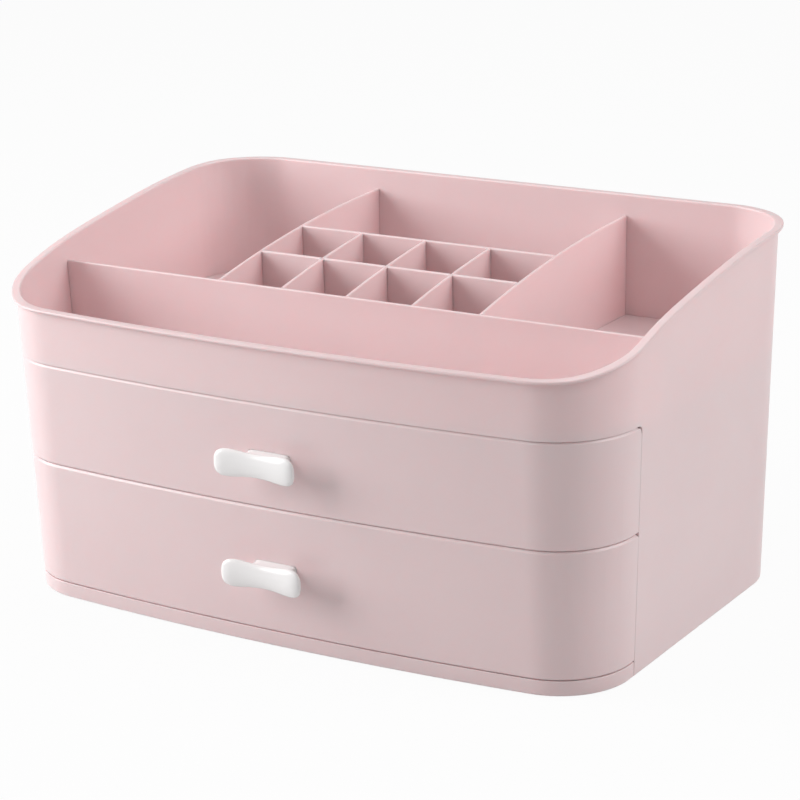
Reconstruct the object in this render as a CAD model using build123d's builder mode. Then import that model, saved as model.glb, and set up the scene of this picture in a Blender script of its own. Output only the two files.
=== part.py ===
"""Makeup organizer: a flared case with an open tray top, slot-in tray walls and two drawers."""

import os
from math import atan2, degrees, radians, sqrt, tan

from build123d import *

os.makedirs("parts", exist_ok=True)

# Overall form in millimetres: x across, y from front to back, z up from the table
base_width = 300.0
base_depth = 194.3
flare = 2.0  # degrees that every outer wall leans out
front_bow = 8.2  # how far the middle of the front stands before its ends
front_radius = 32.6
rear_radius = 29.8
case_wall = 2.0
bottom_bevel = 0.6
overrun = 10.0  # how far a cut runs past what it cuts

# Heights above the underside of the base, which stands on its feet
foot_stand = 0.8
sill_height = 6.8
drawer_seam_height = 64.1
band_seam_height = 111.3
seam_gap = 0.6

# Rim: low in front, rising in one long curve to the back
rim_front_height = 137.7
rim_rear_height = 167.0
rim_curve_shares = [(0, 0), (0.083, 0.1), (0.165, 0.25), (0.253, 0.42), (0.413, 0.63), (0.583, 0.795),
                    (0.743, 0.915), (0.905, 0.985), (1, 1)]  # of the base's depth, of the rim's rise
lip_out = 2.2
lip_height = 1.6
lip_bevel = 0.4
rim_inner_bevel = 0.5

# Tray deck and the walls that slot into it
deck_drop = 1.2  # below the seam over the upper drawer
deck_thickness = 1.8
deck_gap = 0.3
deck_rim_wall = 1.4
deck_rim_height = 5.0
deck_ledge_width = 3.0
deck_ledge_height = 2.5
groove_depth = 0.8
divider_thickness = 1.5
divider_gap = 0.1
divider_bevel = 0.4
front_divider_setback = 60.7
grid_columns = 4
grid_cell_width = 33.8
grid_cell_depth = 34.4
divider_front_rise = 5.4  # above the front of the rim
divider_rear_drop = 9.8  # below the back of the rim
divider_middle_rise_share = 0.73

# Drawers: a bowed front that wraps round both corners, with a box behind it
front_wall = 2.0
front_backing = 0.8  # extra thickness of the front inside the box
return_length = 42.0  # from the base's front to where the wrapped front meets the case
return_gap = 0.2
opening_round = 3.0
opening_relief = 0.8  # how much rounder the drawer's corner is than the opening's
return_round = 1.5
drawer_edge_bevel = 0.7
box_side_gap = 4.0
box_rear_gap = 5.8
box_wall = 1.8
box_floor = 2.0
box_floor_bevel = 2.5
box_top_gap = 0.8  # under the ledges of the case
run_gap = 0.3

# Middle shelf and base plate, each with two runners
shelf_thickness = 2.0
shelf_inset = 3.2
shelf_ledge_width = 3.5
shelf_ledge_height = 2.5
runner_width = 8.0
runner_end_inset = 16.75
runner_spacing = 180.0
runner_height = 1.8
base_floor = 2.4
base_gap = 0.2
sill_wall = 2.2

# Screw ears inside the case, and feet under the base
ear_width = 11.0
ear_length = 14.0
ear_height = 4.4
ear_front_setback = 62.0
ear_rear_inset = 42.0
foot_width = 9.0
foot_length = 18.0
foot_recess = 1.0
foot_gap = 0.1
foot_side_inset = 28.0
foot_front_setback = 30.0
foot_rear_inset = 23.5

# Fasteners
screw_fit = 0.03
screw_clearance = 0.2
base_screw_diameter = 2.8
base_screw_length = 5.0
base_screw_head_diameter = 5.6
base_screw_head_height = 1.2
base_screw_seat_width = 7.0
base_screw_seat_depth = 1.4
handle_screw_diameter = 3.6
handle_screw_length = 10.0
handle_screw_head_diameter = 7.0
handle_screw_head_height = 2.2
handle_screw_seat_width = 12.0
handle_screw_seat_height = 8.0
handle_screw_seat_depth = 0.5

# Handles: a waisted plate, dished along its length, on a flat stem
handle_width = 40.5
handle_height = 14.2  # at its ends, before their corners are rounded
handle_waist = 10.3
handle_corner = 4.5
handle_stand = 14.0
handle_plate = 3.4
handle_dish = 3.0  # how far its waist lies behind its ends
stem_width = 20.5
stem_height = 4.4
stem_bevel = 0.8
stem_seat_depth = 0.6
stem_gap = 0.1
upper_handle_height = 87.5
lower_handle_height = 37.0

# Places that follow from the sizes above, with the origin under the middle of the whole part
lean = tan(radians(flare))
half_width = base_width / 2
front_reach = handle_stand + upper_handle_height * lean
rear_reach = lip_out + rim_rear_height * lean
front_y = (front_reach - rear_reach - base_depth) / 2
rear_y = front_y + base_depth
bow_radius = (half_width**2 + front_bow**2) / (2 * front_bow)
bow_centre_y = front_y + bow_radius
corner_x = half_width - front_radius
corner_y = bow_centre_y - sqrt((bow_radius - front_radius) ** 2 - corner_x**2)
corner_angle = degrees(atan2(corner_x, bow_centre_y - corner_y))
rear_corner_x = half_width - rear_radius
rear_corner_y = rear_y - rear_radius
return_y = front_y + return_length
upper_round = opening_round + opening_relief
sill_top = foot_stand + sill_height - seam_gap / 2
lower_drawer_bottom = foot_stand + sill_height + seam_gap / 2
lower_drawer_top = foot_stand + drawer_seam_height - seam_gap / 2
upper_drawer_bottom = foot_stand + drawer_seam_height + seam_gap / 2
upper_drawer_top = foot_stand + band_seam_height - seam_gap / 2
band_bottom = foot_stand + band_seam_height + seam_gap / 2
rim_front = foot_stand + rim_front_height
rim_rear = foot_stand + rim_rear_height
deck_top = foot_stand + band_seam_height - deck_drop
deck_bottom = deck_top - deck_thickness
deck_ledge_bottom = deck_bottom - deck_ledge_height
shelf_top = upper_drawer_bottom - run_gap - runner_height
shelf_bottom = shelf_top - shelf_thickness
shelf_ledge_bottom = shelf_bottom - shelf_ledge_height
base_top = foot_stand + base_floor
whole_height = rim_rear + overrun
upright_share = 0.5  # of a unit normal: less than this is an upright face


def lean_out(height):
    """How far the flared walls stand out at a height, beyond their foot."""
    return (height - foot_stand) * lean


def outline(height, inset):
    """Edges of the case's plan at a height, drawn in by an inset."""
    grow = lean_out(height) - inset
    side_x = half_width + grow
    with BuildLine() as line:
        CenterArc((0, bow_centre_y), bow_radius + grow, 270 - corner_angle, 2 * corner_angle)
        CenterArc((corner_x, corner_y), front_radius + grow, 270 + corner_angle, 90 - corner_angle)
        Line((side_x, corner_y), (side_x, rear_corner_y))
        CenterArc((rear_corner_x, rear_corner_y), rear_radius + grow, 0, 90)
        Line((rear_corner_x, rear_y + grow), (-rear_corner_x, rear_y + grow))
        CenterArc((-rear_corner_x, rear_corner_y), rear_radius + grow, 90, 90)
        Line((-side_x, rear_corner_y), (-side_x, corner_y))
        CenterArc((-corner_x, corner_y), front_radius + grow, 180, 90 - corner_angle)
    return line.edges()


def section(height, inset):
    """Face of the case's plan at a height, drawn in by an inset."""
    with BuildSketch(Plane.XY.offset(height)) as face:
        make_face(outline(height, inset))
    return face.sketch


def flared(low, high, inset=0, mode=Mode.ADD):
    """Block of the flared form between two heights, drawn in by an inset."""
    loft([section(low, inset), section(high, inset)], ruled=True, mode=mode)


def ledges(low, high, width):
    """Ledges along the side walls and the back wall, to carry a plate."""
    side_x = half_width + lean_out(low) - case_wall / 2
    back_y = rear_y + lean_out(low) - case_wall / 2
    reach = width + case_wall / 2
    with BuildSketch(Plane.XY.offset(low)) as bars:
        with Locations((0, return_y)):
            Rectangle(2 * side_x, rear_corner_y - return_y, align=(Align.CENTER, Align.MIN))
            Rectangle(2 * rear_corner_x, back_y - return_y, align=(Align.CENTER, Align.MIN))
            inner_size = (2 * (side_x - reach), back_y - reach - return_y)
            Rectangle(*inner_size, align=(Align.CENTER, Align.MIN), mode=Mode.SUBTRACT)
    extrude(bars.sketch, amount=high - low)


def rim_band(top_drop, bottom_drop):
    """Side view of the strip between two drops below the rim."""
    start = front_y - base_depth
    end = rear_y + base_depth
    rise = rim_rear - rim_front
    with BuildSketch(Plane.YZ.offset(-base_width)) as strip:
        with BuildLine():
            for drop in (top_drop, bottom_drop):
                low, high = rim_front - drop, rim_rear - drop
                points = [(front_y + along * base_depth, low + up * rise) for along, up in rim_curve_shares]
                Line((start, low), points[0])
                Spline(points, tangents=[(1, 0), (1, 0)])
                Line(points[-1], (end, high))
            Line((start, rim_front - top_drop), (start, rim_front - bottom_drop))
            Line((end, rim_rear - top_drop), (end, rim_rear - bottom_drop))
        make_face()
    return strip.sketch


def looking_out(face):
    """Whether an upright face looks away from the middle of the part."""
    out = Vector(face.center().X, face.center().Y, 0)
    return abs(face.normal_at().Z) < upright_share and face.normal_at().dot(out) > 0


def looking_in(face):
    """Whether an upright face looks towards the middle of the part."""
    out = Vector(face.center().X, face.center().Y, 0)
    return abs(face.normal_at().Z) < upright_share and face.normal_at().dot(out) < 0


def looking_up(face):
    """Whether a face looks upwards."""
    return face.normal_at().Z > upright_share


def looking_down(face):
    """Whether a face looks downwards."""
    return face.normal_at().Z < -upright_share


def save(maker, name):
    """Label a finished piece and write it out."""
    maker.part.label = name
    export_step(maker.part, f"parts/{name}.step")


# Rolled rim: a bead that follows the rim curve, still filled, with its outer edges eased
with BuildPart() as rim_bead:
    flared(rim_front - lip_height, rim_rear, -lip_out)
    extrude(rim_band(0, lip_height), amount=2 * base_width, mode=Mode.INTERSECT)
    bead_faces = rim_bead.faces()
    bead_levels = bead_faces.filter_by(looking_up).edges() + bead_faces.filter_by(looking_down).edges()
    chamfer(bead_levels & bead_faces.filter_by(looking_out).edges(), lip_bevel)

# Screw ears that stand on the base plate, one pair beside each side wall
ear_places = [
    (side * (half_width - case_wall - ear_width / 2), y)
    for side in (-1, 1)
    for y in (front_y + ear_front_setback, rear_y - ear_rear_inset)
]
with BuildPart() as screw_ears:
    with BuildSketch(Plane.XY.offset(base_top)):
        with Locations(ear_places):
            Rectangle(ear_width + case_wall, ear_length)
    extrude(amount=ear_height)
    flared(base_top, base_top + ear_height, case_wall / 2, mode=Mode.INTERSECT)

# Case: side walls, back wall and front band, open below the band for the drawers
with BuildPart() as outer_case:
    flared(foot_stand, rim_rear)
    extrude(rim_band(lip_height / 2, whole_height), amount=2 * base_width, mode=Mode.INTERSECT)
    add(rim_bead.part)
    flared(0, whole_height, case_wall, mode=Mode.SUBTRACT)
    case_faces = outer_case.faces()
    rim_edges = case_faces.filter_by(looking_in).edges() & case_faces.filter_by(looking_up).edges()
    chamfer(rim_edges, rim_inner_bevel)
    ledges(deck_ledge_bottom, deck_bottom, deck_ledge_width)
    ledges(shelf_ledge_bottom, shelf_bottom, shelf_ledge_width)
    with BuildSketch(Plane.YZ) as drawer_opening:
        with Locations((return_y, band_bottom)):
            Rectangle(base_depth, whole_height, align=(Align.MAX, Align.MAX))
        fillet(drawer_opening.vertices().group_by(Axis.X)[-1].sort_by(Axis.Y)[-1], opening_round)
    extrude(amount=base_width, both=True, mode=Mode.SUBTRACT)
    foot_faces = outer_case.faces().filter_by(looking_down).group_by(Axis.Z)[0]
    chamfer(foot_faces.edges() & outer_case.faces().filter_by(looking_out).edges(), bottom_bevel)
    add(screw_ears.part)
    with Locations([(x, y, base_top) for x, y in ear_places]):
        Cylinder(
            base_screw_diameter / 2 + screw_fit,
            base_screw_seat_depth + base_screw_length - base_floor + screw_fit,
            align=(Align.CENTER, Align.CENTER, Align.MIN),
            mode=Mode.SUBTRACT,
        )
save(outer_case, "outer_case")

# Tray walls: where each one runs, as x from and to, then y from and to
half_thick = divider_thickness / 2
front_divider_y = front_y + front_divider_setback
middle_wall_y = front_divider_y + grid_cell_depth
rear_wall_y = middle_wall_y + grid_cell_depth
right_partition_x = grid_columns * grid_cell_width / 2
left_partition_x = -right_partition_x
slat_places = [left_partition_x + column * grid_cell_width for column in range(1, grid_columns)]
grid_from_x = left_partition_x + half_thick + divider_gap
grid_to_x = right_partition_x - half_thick - divider_gap
grid_from_y = front_divider_y + half_thick + divider_gap
grid_to_y = rear_wall_y - half_thick - divider_gap
divider_foot = deck_top - groove_depth
divider_front_top = rim_front + divider_front_rise
divider_rear_top = rim_rear - divider_rear_drop
divider_rear_y = rear_y - case_wall + lean_out(divider_rear_top)


def tray_wall(from_x, to_x, from_y, to_y):
    """Upright wall of the tray, its top following the curve that all of them share."""
    rise = divider_rear_top - divider_front_top
    middle_top = divider_front_top + divider_middle_rise_share * rise
    with BuildSketch(Plane.YZ.offset(from_x)) as side:
        with BuildLine():
            start = (front_divider_y, divider_front_top)
            middle = ((front_divider_y + divider_rear_y) / 2, middle_top)
            end = (divider_rear_y, divider_rear_top)
            ThreePointArc(start, middle, end)
            Polyline(end, (divider_rear_y, divider_foot), (front_divider_y, divider_foot), start)
        make_face()
        with Locations((from_y, divider_foot)):
            Rectangle(to_y - from_y, whole_height, align=(Align.MIN, Align.MIN), mode=Mode.INTERSECT)
    extrude(side.sketch, amount=to_x - from_x)
    flared(divider_foot, rim_rear, case_wall + divider_gap, mode=Mode.INTERSECT)


def ease_top(maker):
    """Ease the two long edges along the top of a tray wall."""
    top_edges = maker.faces().filter_by(looking_up).sort_by(Axis.Z)[-1].edges()
    chamfer(top_edges.sort_by(SortBy.LENGTH)[-2:], divider_bevel)


with BuildPart() as front_divider:
    with BuildSketch(Plane.XY.offset(divider_foot)):
        with Locations((0, front_divider_y)):
            Rectangle(2 * base_width, divider_thickness)
    extrude(amount=divider_front_top - divider_foot)
    flared(divider_foot, rim_rear, case_wall + divider_gap, mode=Mode.INTERSECT)
    ease_top(front_divider)
save(front_divider, "front_divider")

for name, wall_x in (("left_partition", left_partition_x), ("right_partition", right_partition_x)):
    with BuildPart() as partition:
        tray_wall(wall_x - half_thick, wall_x + half_thick, grid_from_y, rear_y + base_depth)
        ease_top(partition)
    save(partition, name)

# Grid: slats notched from below drop over the middle wall, notched from above
notch_width = divider_thickness + 2 * divider_gap
notch_height = (divider_front_top + divider_foot) / 2
with BuildPart() as middle_wall:
    tray_wall(grid_from_x, grid_to_x, middle_wall_y - half_thick, middle_wall_y + half_thick)
    ease_top(middle_wall)
    with Locations([(x, middle_wall_y, notch_height) for x in slat_places]):
        Box(
            notch_width,
            2 * divider_thickness,
            whole_height,
            align=(Align.CENTER, Align.CENTER, Align.MIN),
            mode=Mode.SUBTRACT,
        )
save(middle_wall, "grid_middle_wall")

with BuildPart() as rear_wall:
    tray_wall(grid_from_x, grid_to_x, rear_wall_y - half_thick, rear_wall_y + half_thick)
    ease_top(rear_wall)
save(rear_wall, "grid_rear_wall")

for name, slat_x in zip(("grid_slat_left", "grid_slat_middle", "grid_slat_right"), slat_places):
    with BuildPart() as slat:
        tray_wall(slat_x - half_thick, slat_x + half_thick, grid_from_y, grid_to_y)
        ease_top(slat)
        with Locations((slat_x, middle_wall_y, notch_height)):
            Box(
                2 * divider_thickness,
                notch_width,
                whole_height,
                align=(Align.CENTER, Align.CENTER, Align.MAX),
                mode=Mode.SUBTRACT,
            )
    save(slat, name)

# Tray deck: lies on the ledge of the case, grooved for the walls, with a rim behind the drawer's front
with BuildPart() as tray_deck:
    flared(deck_bottom, deck_top + deck_rim_height, case_wall + deck_gap)
    flared(deck_top, whole_height, case_wall + deck_gap + deck_rim_wall, mode=Mode.SUBTRACT)
    with BuildSketch(Plane.XY.offset(deck_top)):
        with Locations((0, return_y)):
            Rectangle(2 * base_width, 2 * base_depth, align=(Align.CENTER, Align.MIN))
    extrude(amount=whole_height - deck_top, mode=Mode.SUBTRACT)
    with BuildSketch(Plane.XY.offset(deck_top)):
        with Locations((0, front_divider_y)):
            Rectangle(2 * base_width, notch_width)
        for wall_x in (left_partition_x, right_partition_x):
            with Locations((wall_x, grid_from_y - divider_gap)):
                Rectangle(notch_width, base_depth, align=(Align.CENTER, Align.MIN))
        for slat_x in slat_places:
            with Locations((slat_x, grid_from_y - divider_gap)):
                Rectangle(notch_width, 2 * grid_cell_depth, align=(Align.CENTER, Align.MIN))
        for wall_y in (middle_wall_y, rear_wall_y):
            with Locations((left_partition_x, wall_y)):
                Rectangle(grid_columns * grid_cell_width, notch_width, align=(Align.MIN, Align.CENTER))
    extrude(amount=-groove_depth, mode=Mode.SUBTRACT)
save(tray_deck, "tray_deck")

# Middle shelf: lies on the case's side ledges and carries the upper drawer on two runners
runner_y = (front_y + rear_y) / 2
runner_length = base_depth - 2 * runner_end_inset
with BuildPart() as middle_shelf:
    flared(shelf_bottom, shelf_top, shelf_inset)
    with BuildSketch(Plane.XY.offset(shelf_top)):
        with Locations((0, runner_y)):
            with GridLocations(runner_spacing, 0, 2, 1):
                Rectangle(runner_width, runner_length)
    extrude(amount=runner_height)
save(middle_shelf, "middle_shelf")

# Base plate: floor between the case's walls, with the sill that shows under the lower drawer
foot_places = [
    (side * (half_width - foot_side_inset), y)
    for side in (-1, 1)
    for y in (front_y + foot_front_setback, rear_y - foot_rear_inset)
]
with BuildPart() as sill:
    flared(foot_stand, sill_top)
    flared(base_top, sill_top, sill_wall, mode=Mode.SUBTRACT)
    sill_faces = sill.faces()
    sill_sides = sill_faces.filter_by(looking_out).edges()
    chamfer(sill_sides & sill_faces.filter_by(looking_down).edges(), bottom_bevel)
    with BuildSketch(Plane.XY):
        with Locations((0, return_y - base_gap)):
            Rectangle(2 * base_width, base_depth, align=(Align.CENTER, Align.MAX))
    extrude(amount=whole_height, mode=Mode.INTERSECT)

with BuildPart() as base_plate:
    flared(foot_stand, base_top, case_wall + base_gap)
    add(sill.part)
    with BuildSketch(Plane.XY.offset(base_top)):
        with Locations((0, runner_y)):
            with GridLocations(runner_spacing, 0, 2, 1):
                Rectangle(runner_width, runner_length)
    extrude(amount=lower_drawer_bottom - run_gap - base_top)
    with BuildSketch(Plane.XY.offset(foot_stand)):
        with Locations(ear_places):
            Rectangle(base_screw_seat_width, base_screw_seat_width)
    extrude(amount=base_screw_seat_depth, mode=Mode.SUBTRACT)
    with BuildSketch(Plane.XY.offset(foot_stand)):
        with Locations(ear_places):
            Circle(base_screw_diameter / 2 + screw_clearance)
    extrude(amount=base_floor, mode=Mode.SUBTRACT)
    with BuildSketch(Plane.XY.offset(foot_stand)):
        with Locations(foot_places):
            Rectangle(foot_width + 2 * foot_gap, foot_length + 2 * foot_gap)
    extrude(amount=foot_recess, mode=Mode.SUBTRACT)
save(base_plate, "base_plate")

with BuildPart() as base_screws:
    with BuildSketch(Plane.XY.offset(foot_stand + base_screw_seat_depth)):
        with Locations(ear_places):
            Circle(base_screw_head_diameter / 2)
    extrude(amount=-base_screw_head_height)
    with BuildSketch(Plane.XY.offset(foot_stand + base_screw_seat_depth)):
        with Locations(ear_places):
            Circle(base_screw_diameter / 2)
    extrude(amount=base_screw_length)
save(base_screws, "base_screws")

with BuildPart() as anti_slip_feet:
    with BuildSketch():
        with Locations(foot_places):
            Rectangle(foot_width, foot_length)
    extrude(amount=foot_stand + foot_recess)
save(anti_slip_feet, "anti_slip_feet")


def box_section(height, inset, front_inset):
    """Plan of a drawer's box at a height: rounded at the back, bounded by the bowed front."""
    grow = lean_out(height) - inset
    corner_radius = rear_radius - case_wall - box_side_gap
    half_box = half_width - case_wall - box_side_gap + grow
    back_y = rear_y - case_wall - box_rear_gap + grow
    with BuildSketch(Plane.XY.offset(height)) as face:
        with Locations((0, back_y)):
            Rectangle(2 * half_box, 2 * base_depth, align=(Align.CENTER, Align.MAX))
        fillet(face.vertices().group_by(Axis.Y)[-1], corner_radius + grow)
        make_face(outline(height, front_inset), mode=Mode.INTERSECT)
    return face.sketch


def wrapped_front(low, high, corner_round):
    """Bowed front of a drawer with its returns round both corners."""
    with BuildPart() as front:
        flared(low, high)
        front_faces = front.faces()
        level_faces = front_faces.filter_by(looking_up) + front_faces.filter_by(looking_down)
        chamfer(level_faces.edges() & front_faces.filter_by(looking_out).edges(), drawer_edge_bevel)
        flared(low, high, front_wall, mode=Mode.SUBTRACT)
        with BuildSketch(Plane.YZ) as returns:
            with Locations((return_y - return_gap, low)):
                Rectangle(base_depth, high - low, align=(Align.MAX, Align.MIN))
            fillet(returns.vertices().group_by(Axis.X)[-1].sort_by(Axis.Y)[-1], corner_round)
        extrude(amount=base_width, both=True, mode=Mode.INTERSECT)
    return front.part


# Drawers with their handles: name, bottom, top, ledge over the box, corner of the returns, handle height
drawers = [
    ("upper", upper_drawer_bottom, upper_drawer_top, deck_ledge_bottom, upper_round, upper_handle_height),
    ("lower", lower_drawer_bottom, lower_drawer_top, shelf_ledge_bottom, return_round, lower_handle_height),
]
dish_radius = ((handle_width / 2) ** 2 + handle_dish**2) / (2 * handle_dish)
for level, low, high, ledge_bottom, corner_round, handle_height_up in drawers:
    handle_z = foot_stand + handle_height_up
    face_y = front_y - lean_out(handle_z)
    stem_foot_y = face_y + stem_seat_depth
    plate_y = face_y - handle_stand
    seat_y = face_y + front_wall + front_backing - handle_screw_seat_depth
    stem_plane = Plane((0, stem_foot_y, handle_z), x_dir=(1, 0, 0), z_dir=(0, -1, 0))
    plate_plane = Plane((0, plate_y, handle_z), x_dir=(1, 0, 0), z_dir=(0, -1, 0))
    screw_plane = Plane((0, seat_y, handle_z), x_dir=(1, 0, 0), z_dir=(0, -1, 0))

    # Drawer: wrapped front and open box, with a pocket for the handle's stem and a seat for its screw
    with BuildPart() as tray:
        add(wrapped_front(low, high, corner_round))
        box_top = ledge_bottom - box_top_gap
        loft([box_section(height, 0, front_wall / 2) for height in (low, box_top)], ruled=True)
        inner_inset = front_wall + front_backing
        inner = [box_section(height, box_wall, inner_inset) for height in (low + box_floor, high)]
        loft(inner, ruled=True, mode=Mode.SUBTRACT)
        floor_face = tray.faces().filter_by(looking_up).sort_by(Axis.Z)[0]
        chamfer(floor_face.edges(), box_floor_bevel)
        with BuildSketch(stem_plane):
            Rectangle(stem_width + 2 * stem_gap, stem_height + 2 * stem_gap)
        extrude(amount=overrun, mode=Mode.SUBTRACT)
        with BuildSketch(screw_plane):
            Circle(handle_screw_diameter / 2 + screw_clearance)
        extrude(amount=overrun, mode=Mode.SUBTRACT)
        with BuildSketch(screw_plane):
            Rectangle(handle_screw_seat_width, handle_screw_seat_height)
        extrude(amount=-front_wall, mode=Mode.SUBTRACT)
    save(tray, f"{level}_drawer_tray")

    # Handle: waisted plate, dished in front, on a stem that sits in the drawer's front
    with BuildPart() as handle:
        end_x = handle_width / 2
        end_z = handle_height / 2
        with BuildSketch(plate_plane) as plate_face:
            with BuildLine():
                for side in (-1, 1):
                    waist_point = (0, side * handle_waist / 2)
                    ThreePointArc((-end_x, side * end_z), waist_point, (end_x, side * end_z))
                    Line((side * end_x, -end_z), (side * end_x, end_z))
            make_face()
            fillet(plate_face.vertices(), handle_corner)
        extrude(amount=-handle_plate - handle_dish)
        with BuildSketch(Plane.XY.offset(handle_z)):
            with Locations((0, plate_y + handle_dish - dish_radius)):
                Circle(dish_radius + handle_plate)
                Circle(dish_radius, mode=Mode.SUBTRACT)
        extrude(amount=handle_height, both=True, mode=Mode.INTERSECT)
        with BuildSketch(stem_plane) as stem_face:
            Rectangle(stem_width, stem_height)
            chamfer(stem_face.vertices(), stem_bevel)
        extrude(amount=stem_seat_depth + handle_stand - handle_dish - handle_plate / 2)
        with BuildSketch(screw_plane):
            Circle(handle_screw_diameter / 2 + screw_fit)
        extrude(amount=handle_screw_length + screw_fit, mode=Mode.SUBTRACT)
    save(handle, f"{level}_handle")

    # Screw that holds the handle from inside the drawer
    with BuildPart() as handle_screw:
        with BuildSketch(screw_plane):
            Circle(handle_screw_head_diameter / 2)
        extrude(amount=-handle_screw_head_height)
        with BuildSketch(screw_plane):
            Circle(handle_screw_diameter / 2)
        extrude(amount=handle_screw_length)
    save(handle_screw, f"{level}_handle_screw")
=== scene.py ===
import math

import bmesh
import bpy
from mathutils import Matrix, Vector


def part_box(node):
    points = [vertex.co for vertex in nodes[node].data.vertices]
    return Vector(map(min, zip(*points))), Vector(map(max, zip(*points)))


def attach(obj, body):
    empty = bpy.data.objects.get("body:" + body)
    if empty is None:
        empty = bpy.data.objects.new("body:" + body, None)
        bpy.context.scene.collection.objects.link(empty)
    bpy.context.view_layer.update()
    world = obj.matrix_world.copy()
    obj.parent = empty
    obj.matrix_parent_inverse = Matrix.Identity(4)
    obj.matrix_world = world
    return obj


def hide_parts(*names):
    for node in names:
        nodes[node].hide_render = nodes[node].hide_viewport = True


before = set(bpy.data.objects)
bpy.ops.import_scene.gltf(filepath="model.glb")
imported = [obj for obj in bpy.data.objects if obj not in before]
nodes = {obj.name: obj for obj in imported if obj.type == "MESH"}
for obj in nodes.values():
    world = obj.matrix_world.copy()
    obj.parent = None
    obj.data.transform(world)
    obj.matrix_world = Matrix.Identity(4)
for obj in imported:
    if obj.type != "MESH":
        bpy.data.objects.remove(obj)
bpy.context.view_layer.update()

# A studio scene of the makeup organizer, in metres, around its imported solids
MM = 0.001

# Moulded edges: how solids are merged and where an edge is eased
MERGE_DISTANCE = 0.002 * MM
FLAT_ANGLE = math.radians(0.3)
SHARP_ANGLE = math.radians(25)
SHORTEST_EASED_EDGE = 0.5 * MM
EASE_SEGMENTS = 2
CASE_EASE = 0.3 * MM
DRAWER_EASE = 0.25 * MM
PLATE_EASE = 0.2 * MM
TRAY_WALL_EASE = 0.15 * MM

# Seams round the drawers, drawn finer than the solids' own gaps
SEAM_GAP = 0.6 * MM
SEAM_LIFT = 0.42 * MM
RETURN_STRETCH = 0.12 * MM
RETURN_BAND = 5.0 * MM  # from the drawer's widest point inwards
PLANE_REACH = 0.05 * MM  # how near a plane its points lie

# Handles: a waisted pull with a swollen front, its ends brought forward, on a flat stem
PULL_WAIST = 10.3 * MM
PULL_END_HEIGHT = 19.4 * MM  # before the ends are rounded
PULL_DISH = 1.8 * MM
PULL_DROP = 0.8 * MM  # below the middle of the stem
PULL_SWELL = 2.3 * MM
PULL_BACK = 1.1 * MM
PULL_SQUARENESS = 2.7
PULL_FRONT_ROUNDNESS = 2.1
PULL_BACK_ROUNDNESS = 4.0
PULL_AROUND = 128
PULL_RINGS = 14
STEM_WIDTH = 20.5 * MM
STEM_HEIGHT = 4.4 * MM
STEM_SQUARENESS = 6.0
STEM_AROUND = 64
STEM_FLARE = 0.9 * MM
STEM_SEAT = 0.6 * MM  # how deep it sits in the drawer's front
STEM_FOOT = 0.45 * MM  # how far its foot spreads over the seat's edge
STEM_FOOT_CLEAR = 0.05 * MM
FLARE_REST_SHARE = 0.25  # of a flare, left halfway along it

# Screws: flat pan heads with a cross recess
SCREW_SIDES = 48
BASE_HEAD_RADIUS = 2.8 * MM
BASE_HEAD_HEIGHT = 1.2 * MM
BASE_SHANK_RADIUS = 1.4 * MM
HANDLE_HEAD_HEIGHT = 2.2 * MM
HANDLE_SHANK_RADIUS = 1.8 * MM
RECESS_LENGTH_SHARE = 1.15  # of the head's radius
RECESS_WIDTH_SHARE = 0.3
RECESS_DEPTH_SHARE = 0.6  # of the head's height
ROOT_SHARE = 0.2  # how far the shank reaches into the head
SCREW_EASE = 0.12 * MM

# Foot pads: soft blocks with ribs across the tread
FOOT_WIDTH = 9.0 * MM
FOOT_LENGTH = 18.0 * MM
RIB_HEIGHT = 0.25 * MM
RIB_COUNT = 6
RIB_LENGTH_SHARE = 0.9  # of the pad's width
RIB_WIDTH_SHARE = 0.55  # of the ribs' spacing
FOOT_EASE = 0.1 * MM

# Finishes: noise scales are in cycles per metre
NOISE_LOW, NOISE_HIGH = 0.3, 0.7
DRIFT_SCALE = 14.0
GLOSS_PATCH_SCALE = 60.0
GRAIN_STRENGTH = 0.35
COAT_ROUGHNESS = 0.35
ZINC_DARK, ZINC_PALE = (0.52, 0.52, 0.53, 1), (0.64, 0.64, 0.66, 1)
ZINC_MOTTLE_SCALE = 900.0
ZINC_MARK_SCALE = 6000.0
ZINC_MARK_DEPTH = 0.02 * MM
ZINC_MARK_STRENGTH = 0.25
ZINC_ROUGHNESS = (0.24, 0.38)

# Light that passes through thin plastic: its depth, and how far each colour spreads
THROUGH_DEPTH = 3.0 * MM
THROUGH_SPREAD = (1.0, 0.45, 0.45)

# Camera that was fitted to the photograph
CAMERA_PLACE = Vector((0.62498, -0.9995, 0.44804))
CAMERA_RIGHT = Vector((0.8542085, 0.5193429, -0.0247152))
CAMERA_UP = Vector((-0.1317221, 0.2621501, 0.9559951))
CAMERA_FORWARD = Vector((-0.5029683, 0.8133636, -0.2923397))
SENSOR_WIDTH = 36.0
LENS = 122.444
FAR_CLIP = 50.0

# Studio: floor and surroundings that show as white, with soft lamps
FLOOR_REACH = 6.0
FLOOR_GREY = 0.6
FLOOR_GLOW_SHARE = 0.95
SKY_FILL = 0.23
LAMP_AIM = Vector((0, 0, 0.08))


def empty_tree(holder):
    """Cleared node tree of a material or a world."""
    holder.use_nodes = True
    holder.node_tree.nodes.clear()
    return holder.node_tree


def add(tree, kind, inputs=None, **settings):
    """New node of a kind, with its properties set and its inputs set or linked."""
    node = tree.nodes.new(kind)
    for key, value in settings.items():
        setattr(node, key, value)
    for key, value in (inputs or {}).items():
        if isinstance(value, bpy.types.NodeSocket):
            tree.links.new(value, node.inputs[key])
        else:
            node.inputs[key].default_value = value
    return node


def cloud(tree, coordinates, scale, detail=2.0, roughness=0.5):
    """Noise of a scale, in cycles per metre, on the piece's own coordinates."""
    settings = {"Vector": coordinates, "Scale": scale, "Detail": detail, "Roughness": roughness}
    return add(tree, "ShaderNodeTexNoise", settings).outputs["Fac"]


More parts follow.
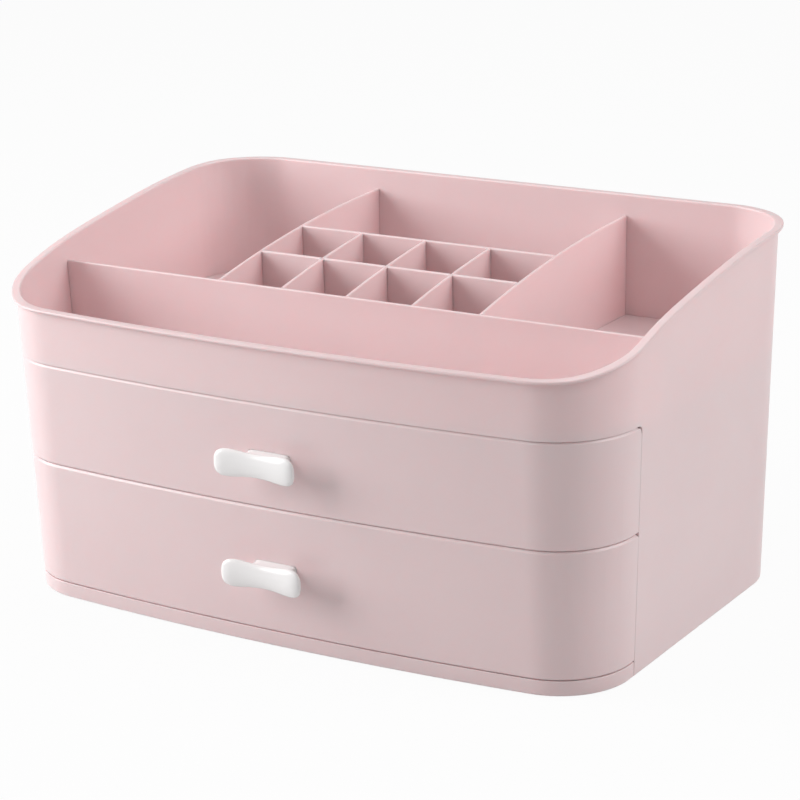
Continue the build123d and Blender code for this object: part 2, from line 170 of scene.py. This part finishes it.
def spread(tree, value, low, high):
    """A noise value spread over a range."""
    settings = {"Value": value, "To Min": low, "To Max": high}
    settings.update({"From Min": NOISE_LOW, "From Max": NOISE_HIGH})
    return add(tree, "ShaderNodeMapRange", settings).outputs["Result"]


def between(tree, value, first, second):
    """A colour between two others, led by a value."""
    node = add(tree, "ShaderNodeMix", data_type="RGBA")
    node.inputs["A"].default_value = first
    node.inputs["B"].default_value = second
    tree.links.new(value, node.inputs["Factor"])
    return node.outputs["Result"]


def finish_material(name, finish_of):
    """Material whose surface is a principled shader with the inputs that a function gives."""
    material = bpy.data.materials.new(name)
    tree = empty_tree(material)
    coordinates = add(tree, "ShaderNodeTexCoord").outputs["Object"]
    shader = add(tree, "ShaderNodeBsdfPrincipled", finish_of(tree, coordinates))
    add(tree, "ShaderNodeOutputMaterial", {"Surface": shader.outputs["BSDF"]})
    return material


def moulded_plastic(
    name, colour, pale_colour, rough, grain_height, grain_scale, coat=0.0, through=0.0
):
    """Moulded plastic: a colour that drifts a little, a fine spark-eroded grain and uneven gloss.

    The coat is a clear gloss over it, and through is the share of light that it lets into its walls.
    """

    def finish(tree, coordinates):
        drift = spread(tree, cloud(tree, coordinates, DRIFT_SCALE, detail=3.0), 0.0, 1.0)
        patches = cloud(tree, coordinates, GLOSS_PATCH_SCALE, detail=4.0, roughness=0.6)
        grain = cloud(tree, coordinates, grain_scale)
        relief = {"Height": grain, "Strength": GRAIN_STRENGTH, "Distance": grain_height}
        return {
            "Base Color": between(tree, drift, colour, pale_colour),
            "Roughness": spread(tree, patches, *rough),
            "Normal": add(tree, "ShaderNodeBump", relief).outputs["Normal"],
            "Coat Weight": coat,
            "Coat Roughness": COAT_ROUGHNESS,
            "Subsurface Weight": through,
            "Subsurface Radius": THROUGH_SPREAD,
            "Subsurface Scale": THROUGH_DEPTH,
        }

    return finish_material(name, finish)


def zinc_plate(name):
    """Bright zinc on steel: a faint mottle, fine turning marks and a metal's own gloss."""

    def finish(tree, coordinates):
        patches = cloud(tree, coordinates, ZINC_MOTTLE_SCALE, detail=4.0, roughness=0.6)
        mottle = spread(tree, patches, 0.0, 1.0)
        marks = cloud(tree, coordinates, ZINC_MARK_SCALE)
        relief = {"Height": marks, "Strength": ZINC_MARK_STRENGTH, "Distance": ZINC_MARK_DEPTH}
        return {
            "Base Color": between(tree, mottle, ZINC_DARK, ZINC_PALE),
            "Metallic": 1.0,
            "Roughness": spread(tree, mottle, *ZINC_ROUGHNESS),
            "Normal": add(tree, "ShaderNodeBump", relief).outputs["Normal"],
        }

    return finish_material(name, finish)


pink = moulded_plastic(
    "pink_satin_plastic",
    colour=(0.81, 0.63, 0.637, 1),
    pale_colour=(0.825, 0.65, 0.657, 1),
    rough=(0.36, 0.46),
    grain_height=0.05 * MM,
    grain_scale=1800.0,
    coat=0.3,
    through=0.35,
)
white = moulded_plastic(
    "white_gloss_plastic",
    colour=(0.93, 0.91, 0.908, 1),
    pale_colour=(0.945, 0.93, 0.928, 1),
    rough=(0.14, 0.22),
    grain_height=0.02 * MM,
    grain_scale=900.0,
)
steel = zinc_plate("zinc_screw_steel")
rubber = moulded_plastic(
    "pale_foot_rubber",
    colour=(0.55, 0.55, 0.54, 1),
    pale_colour=(0.62, 0.62, 0.61, 1),
    rough=(0.7, 0.85),
    grain_height=0.1 * MM,
    grain_scale=2500.0,
)


def new_piece(name, mesh, material):
    """Object with a mesh and its finish, in the scene."""
    piece = bpy.data.objects.new(name, mesh)
    bpy.context.scene.collection.objects.link(piece)
    mesh.materials.clear()
    mesh.materials.append(material)
    return piece


def ease(piece, width, by_angle=False):
    """Small rounding along a piece's sharp edges."""
    bevel = piece.modifiers.new("eased_edges", "BEVEL")
    bevel.limit_method = "ANGLE" if by_angle else "WEIGHT"
    bevel.angle_limit = SHARP_ANGLE
    bevel.width = width
    bevel.segments = EASE_SEGMENTS
    bevel.use_clamp_overlap = by_angle
    piece.modifiers.new("even_shading", "WEIGHTED_NORMAL")


def stand_for(piece, node, body):
    """Let a piece move with a body in place of a solid."""
    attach(piece, body)
    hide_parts(node)


def narrow_seam(form, edge_z):
    """Draw the level edge at a height up, so that the seam above it is finer."""
    for vert in form.verts:
        if abs(vert.co.z - edge_z) < PLANE_REACH:
            vert.co.z += SEAM_LIFT


def narrow_returns(form, side_x):
    """Draw the ends of a drawer's wrapped front back, so that the seams beside them are finer."""
    returns = [vert for vert in form.verts if abs(vert.co.x) > side_x - RETURN_BAND]
    end_y = max(vert.co.y for vert in returns)
    for vert in returns:
        if end_y - vert.co.y < PLANE_REACH:
            vert.co.y += RETURN_STRETCH


def moulded_copy(node, body, width, seam_z=None, returns_x=None):
    """Copy of a moulded solid with its edges eased and its seams narrowed."""
    source = nodes[node].data
    mesh = bpy.data.meshes.new(f"moulded_{node}")
    mesh.from_pydata([v.co[:] for v in source.vertices], [], [p.vertices[:] for p in source.polygons])
    form = bmesh.new()
    form.from_mesh(mesh)
    bmesh.ops.remove_doubles(form, verts=form.verts, dist=MERGE_DISTANCE)
    bmesh.ops.dissolve_limit(form, angle_limit=FLAT_ANGLE, verts=form.verts, edges=form.edges)
    if seam_z is not None:
        narrow_seam(form, seam_z)
    if returns_x is not None:
        narrow_returns(form, returns_x)
    weight = form.edges.layers.float.new("bevel_weight_edge")
    for edge in form.edges:
        sharp = edge.calc_face_angle() > SHARP_ANGLE
        edge[weight] = float(sharp and edge.calc_length() > SHORTEST_EASED_EDGE)
    for face in form.faces:
        face.smooth = True
    form.to_mesh(mesh)
    form.free()
    piece = new_piece(f"moulded_{node}", mesh, pink)
    ease(piece, width)
    stand_for(piece, node, body)


def rounded_power(value, power):
    """Signed power that draws a circle's sine or cosine towards a square's."""
    return math.copysign(abs(value) ** (2 / power), value)


def skin_rings(form, rings):
    """Skin rings of points, one after the other, and close both ends across their middle."""
    skin = [[form.verts.new(point) for point in ring] for ring in rings]
    count = len(skin[0])
    for near, far in zip(skin, skin[1:]):
        for i in range(count):
            j = (i + 1) % count
            form.faces.new((near[i], near[j], far[j], far[i]))
    for ring in (skin[0], skin[-1]):
        for i in range(count // 2 - 1):
            form.faces.new((ring[i], ring[i + 1], ring[count - 2 - i], ring[count - 1 - i]))


def pull_rings(low, high):
    """Rings of the pull from the middle of its back, over its edge, to the middle of its front."""
    half_width = (high.x - low.x) / 2
    half_height = (high.z - low.z) / 2
    centre_z = (high.z + low.z) / 2 - PULL_DROP
    turns = [math.pi / 2 * (step + 0.5) / (PULL_RINGS + 0.5) for step in range(PULL_RINGS)]
    shells = [(turn, -PULL_BACK, PULL_BACK_ROUNDNESS) for turn in reversed(turns)]
    shells += [(turn, PULL_SWELL, PULL_FRONT_ROUNDNESS) for turn in turns]
    rings = []
    for shell_turn, reach, roundness in shells:
        keep = rounded_power(math.cos(shell_turn), roundness)
        forward = reach * rounded_power(math.sin(shell_turn), roundness)
        ring = []
        for i in range(PULL_AROUND):
            turn = 2 * math.pi * (i + 0.5) / PULL_AROUND
            along = rounded_power(math.cos(turn), PULL_SQUARENESS)
            height = PULL_WAIST / 2 + (PULL_END_HEIGHT - PULL_WAIST) / 2 * along**2
            x = along * (half_width - (1 - keep) * half_height)
            z = keep * height * rounded_power(math.sin(turn), PULL_SQUARENESS)
            dish_y = low.y + PULL_DISH * (1 - (x / half_width) ** 2)
            ring.append((x, dish_y + PULL_SWELL - forward, centre_z + z))
        rings.append(ring)
    return rings


def stem_rings(low, high):
    """Rings of the stem from its seat in the drawer's front into the back of the pull."""
    centre_z = (high.z + low.z) / 2
    root_y = low.y + PULL_DISH + PULL_SWELL
    neck_y = root_y + 2 * PULL_BACK
    foot_y = high.y - STEM_SEAT - STEM_FOOT_CLEAR
    outline = [
        (high.y, 0),
        (foot_y, 0),
        (foot_y, STEM_FOOT),
        (foot_y - STEM_FOOT, STEM_FOOT * FLARE_REST_SHARE),
        (foot_y - 2 * STEM_FOOT, 0),
        (neck_y + PULL_BACK, 0),
        (neck_y, STEM_FLARE * FLARE_REST_SHARE),
        (root_y, STEM_FLARE),
    ]
    rings = []
    for y, flare in outline:
        ring = []
        for i in range(STEM_AROUND):
            turn = 2 * math.pi * (i + 0.5) / STEM_AROUND
            x = (STEM_WIDTH / 2 + flare) * rounded_power(math.cos(turn), STEM_SQUARENESS)
            z = (STEM_HEIGHT / 2 + flare) * rounded_power(math.sin(turn), STEM_SQUARENESS)
            ring.append((x, y, centre_z + z))
        rings.append(ring)
    return rings


def waisted_handle(level):
    """White handle of a drawer: the pull and its stem."""
    node = f"{level}_handle"
    low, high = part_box(node)
    form = bmesh.new()
    skin_rings(form, pull_rings(low, high))
    skin_rings(form, stem_rings(low, high))
    bmesh.ops.recalc_face_normals(form, faces=form.faces)
    for face in form.faces:
        face.smooth = True
    mesh = bpy.data.meshes.new(f"waisted_{node}")
    form.to_mesh(mesh)
    form.free()
    piece = new_piece(f"waisted_{node}", mesh, white)
    stand_for(piece, node, f"{level}_drawer")


def shape_tree(name, sizes):
    """Geometry tree that takes places, named sizes, a turn and a finish, with its inputs."""
    tree = bpy.data.node_groups.new(name, "GeometryNodeTree")
    tree.interface.new_socket("Places", in_out="INPUT", socket_type="NodeSocketGeometry")
    for size in sizes:
        tree.interface.new_socket(size, in_out="INPUT", socket_type="NodeSocketFloat")
    tree.interface.new_socket("Turn", in_out="INPUT", socket_type="NodeSocketVector")
    tree.interface.new_socket("Finish", in_out="INPUT", socket_type="NodeSocketMaterial")
    tree.interface.new_socket("Pieces", in_out="OUTPUT", socket_type="NodeSocketGeometry")
    return tree, add(tree, "NodeGroupInput").outputs


def scaled(tree, value, share):
    """A size times a share."""
    return add(tree, "ShaderNodeMath", {0: value, 1: share}, operation="MULTIPLY").outputs[0]


def total(tree, first, second):
    """Two sizes together."""
    return add(tree, "ShaderNodeMath", {0: first, 1: second}, operation="ADD").outputs[0]


def vector_of(tree, **parts):
    """Vector from its X, Y and Z parts."""
    return add(tree, "ShaderNodeCombineXYZ", parts).outputs[0]


def block(tree, **parts):
    """Block of a size in X, Y and Z, about the origin."""
    return add(tree, "GeometryNodeMeshCube", {"Size": vector_of(tree, **parts)}).outputs["Mesh"]


def lifted(tree, shape, height):
    """A shape moved along z."""
    settings = {"Geometry": shape, "Translation": vector_of(tree, Z=height)}
    return add(tree, "GeometryNodeTransform", settings).outputs[0]


def together(tree, shapes):
    """Several shapes as one."""
    join = add(tree, "GeometryNodeJoinGeometry")
    for shape in shapes:
        tree.links.new(shape, join.inputs[0])
    return join.outputs[0]


def set_on_places(tree, given, shape):
    """End of a tree: the shape on every place, turned, made real and given its finish."""
    turn = add(tree, "FunctionNodeEulerToRotation", {0: given["Turn"]}).outputs[0]
    settings = {"Points": given["Places"], "Instance": shape, "Rotation": turn}
    copies = add(tree, "GeometryNodeInstanceOnPoints", settings).outputs[0]
    real = add(tree, "GeometryNodeRealizeInstances", {"Geometry": copies}).outputs[0]
    finished = add(tree, "GeometryNodeSetMaterial", {"Geometry": real, "Material": given["Finish"]})
    add(tree, "NodeGroupOutput", {"Pieces": finished.outputs[0]})


def pan_head_tree():
    """Screw along z: a flat pan head below with a cross recess, and its shank above."""
    tree, given = shape_tree("pan_head_screw", ("Head Radius", "Head Height", "Shank Radius", "Length"))
    radius, height = given["Head Radius"], given["Head Height"]
    head_sizes = {"Vertices": SCREW_SIDES, "Radius": radius, "Depth": height}
    head = add(tree, "GeometryNodeMeshCylinder", head_sizes).outputs["Mesh"]
    cut = add(tree, "GeometryNodeMeshBoolean", operation="DIFFERENCE", solver="EXACT")
    tree.links.new(lifted(tree, head, scaled(tree, height, -0.5)), cut.inputs["Mesh 1"])
    arm = scaled(tree, radius, RECESS_LENGTH_SHARE)
    width = scaled(tree, radius, RECESS_WIDTH_SHARE)
    depth = scaled(tree, height, 2 * RECESS_DEPTH_SHARE)
    for long_side, short_side in ((arm, width), (width, arm)):
        slot_block = block(tree, X=long_side, Y=short_side, Z=depth)
        tree.links.new(lifted(tree, slot_block, scaled(tree, height, -1.0)), cut.inputs["Mesh 2"])
    root = scaled(tree, height, ROOT_SHARE)
    shank_length = total(tree, given["Length"], root)
    shank_sizes = {"Vertices": SCREW_SIDES, "Radius": given["Shank Radius"], "Depth": shank_length}
    shank = add(tree, "GeometryNodeMeshCylinder", shank_sizes).outputs["Mesh"]
    middle = total(tree, scaled(tree, shank_length, 0.5), scaled(tree, root, -1.0))
    screw = together(tree, (cut.outputs["Mesh"], lifted(tree, shank, middle)))
    set_on_places(tree, given, screw)
    return tree


def foot_pad_tree():
    """Foot pad that stands on z 0: a block with ribs across its tread."""
    tree, given = shape_tree("ribbed_foot_pad", ("Width", "Length", "Height", "Rib Height"))
    rib_height = given["Rib Height"]
    pad_height = total(tree, given["Height"], scaled(tree, rib_height, -1.0))
    pad = block(tree, X=given["Width"], Y=given["Length"], Z=pad_height)
    pad_middle = total(tree, rib_height, scaled(tree, pad_height, 0.5))
    pitch = scaled(tree, given["Length"], 1 / RIB_COUNT)
    rib_length = scaled(tree, given["Width"], RIB_LENGTH_SHARE)
    rib_width = scaled(tree, pitch, RIB_WIDTH_SHARE)
    rib = block(tree, X=rib_length, Y=rib_width, Z=scaled(tree, rib_height, 2.0))
    first = vector_of(tree, Y=scaled(tree, pitch, (1 - RIB_COUNT) / 2))
    row = {"Count": RIB_COUNT, "Start Location": first, "Offset": vector_of(tree, Y=pitch)}
    line = add(tree, "GeometryNodeMeshLine", row, mode="OFFSET").outputs["Mesh"]
    ribs = add(tree, "GeometryNodeInstanceOnPoints", {"Points": line, "Instance": rib}).outputs[0]
    whole = together(tree, (lifted(tree, pad, pad_middle), lifted(tree, ribs, rib_height)))
    set_on_places(tree, given, whole)
    return tree


def set_out(name, tree, places, sizes, turn, finish, width):
    """Pieces of a tree on their places, baked to one plain mesh with eased edges."""
    seeds = bpy.data.meshes.new(f"{name}_places")
    seeds.from_pydata(places, [], [])
    holder = new_piece(f"{name}_layout", seeds, finish)
    layout = holder.modifiers.new("layout", "NODES")
    layout.node_group = tree
    values = {**sizes, "Turn": turn, "Finish": finish}
    for socket in tree.interface.items_tree:
        if socket.in_out == "INPUT" and socket.name in values:
            layout[socket.identifier] = values[socket.name]
    depsgraph = bpy.context.evaluated_depsgraph_get()
    baked = bpy.data.meshes.new_from_object(holder.evaluated_get(depsgraph))
    baked.name = name
    bpy.data.objects.remove(holder)
    for face in baked.polygons:
        face.use_smooth = True
    piece = new_piece(name, baked, finish)
    ease(piece, width, by_angle=True)
    return piece


def corner_places(node, half_x, half_y, z):
    """Places of four equal pieces at the corners of the box they share."""
    low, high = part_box(node)
    return [(x, y, z) for x in (low.x + half_x, high.x - half_x) for y in (low.y + half_y, high.y - half_y)]


def base_screws(tree):
    """Four screws that hold the base plate to the case, heads down."""
    low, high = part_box("base_screws")
    seat_z = low.z + BASE_HEAD_HEIGHT
    sizes = {
        "Head Radius": BASE_HEAD_RADIUS,
        "Head Height": BASE_HEAD_HEIGHT,
        "Shank Radius": BASE_SHANK_RADIUS,
        "Length": high.z - seat_z,
    }
    places = corner_places("base_screws", BASE_HEAD_RADIUS, BASE_HEAD_RADIUS, seat_z)
    piece = set_out("cross_recess_base_screws", tree, places, sizes, (0, 0, 0), steel, SCREW_EASE)
    stand_for(piece, "base_screws", "case")


def handle_screw(tree, level):
    """Screw that holds a handle from inside its drawer, its head to the back."""
    node = f"{level}_handle_screw"
    low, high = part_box(node)
    seat_y = high.y - HANDLE_HEAD_HEIGHT
    sizes = {
        "Head Radius": (high.z - low.z) / 2,
        "Head Height": HANDLE_HEAD_HEIGHT,
        "Shank Radius": HANDLE_SHANK_RADIUS,
        "Length": seat_y - low.y,
    }
    places = [((low.x + high.x) / 2, seat_y, (low.z + high.z) / 2)]
    piece = set_out(f"cross_recess_{node}", tree, places, sizes, (math.pi / 2, 0, 0), steel, SCREW_EASE)
    stand_for(piece, node, f"{level}_drawer")


def foot_pads(tree):
    """Four pads under the base plate."""
    low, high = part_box("anti_slip_feet")
    sizes = {"Width": FOOT_WIDTH, "Length": FOOT_LENGTH, "Height": high.z - low.z, "Rib Height": RIB_HEIGHT}
    places = corner_places("anti_slip_feet", FOOT_WIDTH / 2, FOOT_LENGTH / 2, low.z)
    piece = set_out("ribbed_foot_pads", tree, places, sizes, (0, 0, 0), rubber, FOOT_EASE)
    stand_for(piece, "anti_slip_feet", "case")


sill_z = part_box("lower_drawer_tray")[0].z - SEAM_GAP
moulded_copy("outer_case", "case", CASE_EASE)
moulded_copy("base_plate", "case", CASE_EASE, seam_z=sill_z)
for node in ("tray_deck", "middle_shelf"):
    moulded_copy(node, "case", PLATE_EASE)
for node in ("front_divider", "left_partition", "right_partition", "grid_middle_wall", "grid_rear_wall"):
    moulded_copy(node, "case", TRAY_WALL_EASE)
for node in ("grid_slat_left", "grid_slat_middle", "grid_slat_right"):
    moulded_copy(node, "case", TRAY_WALL_EASE)

pan_head = pan_head_tree()
base_screws(pan_head)
foot_pads(foot_pad_tree())
for level in ("upper", "lower"):
    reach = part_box(f"{level}_drawer_tray")[1]
    moulded_copy(
        f"{level}_drawer_tray", f"{level}_drawer", DRAWER_EASE, seam_z=reach.z, returns_x=reach.x
    )
    waisted_handle(level)
    handle_screw(pan_head, level)


def seen_share(tree, rays, share):
    """A share for the named kinds of rays, and nothing for all others."""
    path = add(tree, "ShaderNodeLightPath")
    first, second = (path.outputs[ray] for ray in rays)
    seen = add(tree, "ShaderNodeMath", {0: first, 1: second}, operation="MAXIMUM").outputs[0]
    return scaled(tree, seen, share)


def studio_floor():
    """Wide pale floor that shows as white and keeps a faint shadow of the organizer."""
    mesh = bpy.data.meshes.new("studio_floor")
    reach = FLOOR_REACH
    corners = [(-reach, -reach, 0), (reach, -reach, 0), (reach, reach, 0), (-reach, reach, 0)]
    mesh.from_pydata(corners, [], [(0, 1, 2, 3)])
    material = bpy.data.materials.new("white_floor")
    tree = empty_tree(material)
    grey = (FLOOR_GREY, FLOOR_GREY, FLOOR_GREY, 1)
    matt = add(tree, "ShaderNodeBsdfDiffuse", {"Color": grey}).outputs[0]
    glow = add(tree, "ShaderNodeEmission", {"Strength": 1.0}).outputs[0]
    share = seen_share(tree, ("Is Camera Ray", "Is Glossy Ray"), FLOOR_GLOW_SHARE)
    mix = add(tree, "ShaderNodeMixShader", {"Fac": share, 1: matt, 2: glow}).outputs[0]
    add(tree, "ShaderNodeOutputMaterial", {"Surface": mix})
    new_piece("studio_floor", mesh, material)


def studio_world():
    """White surroundings where they are seen, and a low even fill for everything else."""
    world = bpy.data.worlds.new("studio")
    bpy.context.scene.world = world
    tree = empty_tree(world)
    white_light = (1, 1, 1, 1)
    fill = add(tree, "ShaderNodeBackground", {"Color": white_light, "Strength": SKY_FILL}).outputs[0]
    shown = add(tree, "ShaderNodeBackground", {"Color": white_light, "Strength": 1.0}).outputs[0]
    share = seen_share(tree, ("Is Camera Ray", "Is Transmission Ray"), 1.0)
    mix = add(tree, "ShaderNodeMixShader", {"Fac": share, 1: fill, 2: shown}).outputs[0]
    add(tree, "ShaderNodeOutputWorld", {"Surface": mix})


def softbox(name, place, size, watts):
    """Large soft lamp that looks at the organizer."""
    lamp = bpy.data.lights.new(name, "AREA")
    lamp.shape = "SQUARE"
    lamp.size = size
    lamp.energy = watts
    holder = bpy.data.objects.new(name, lamp)
    holder.location = place
    holder.rotation_euler = (LAMP_AIM - Vector(place)).to_track_quat("-Z", "Y").to_euler()
    bpy.context.scene.collection.objects.link(holder)


def photo_camera():
    """Camera at the photograph's viewing angle."""
    lens = bpy.data.cameras.new("photo_camera")
    lens.sensor_width = SENSOR_WIDTH
    lens.lens = LENS
    lens.clip_end = FAR_CLIP
    camera = bpy.data.objects.new("photo_camera", lens)
    turn = Matrix((CAMERA_RIGHT, CAMERA_UP, -CAMERA_FORWARD)).transposed()
    camera.matrix_world = Matrix.Translation(CAMERA_PLACE) @ turn.to_4x4()
    bpy.context.scene.collection.objects.link(camera)
    bpy.context.scene.camera = camera


studio_floor()
studio_world()
softbox("left_softbox", place=(-1.38, -0.76, 0.75), size=1.2, watts=31)
softbox("right_softbox", place=(1.5, 0.4, 1.05), size=1.2, watts=17)
softbox("top_softbox", place=(0.0, 0.2, 1.5), size=2.0, watts=9)
photo_camera()
bpy.context.scene.view_settings.view_transform = "Standard"
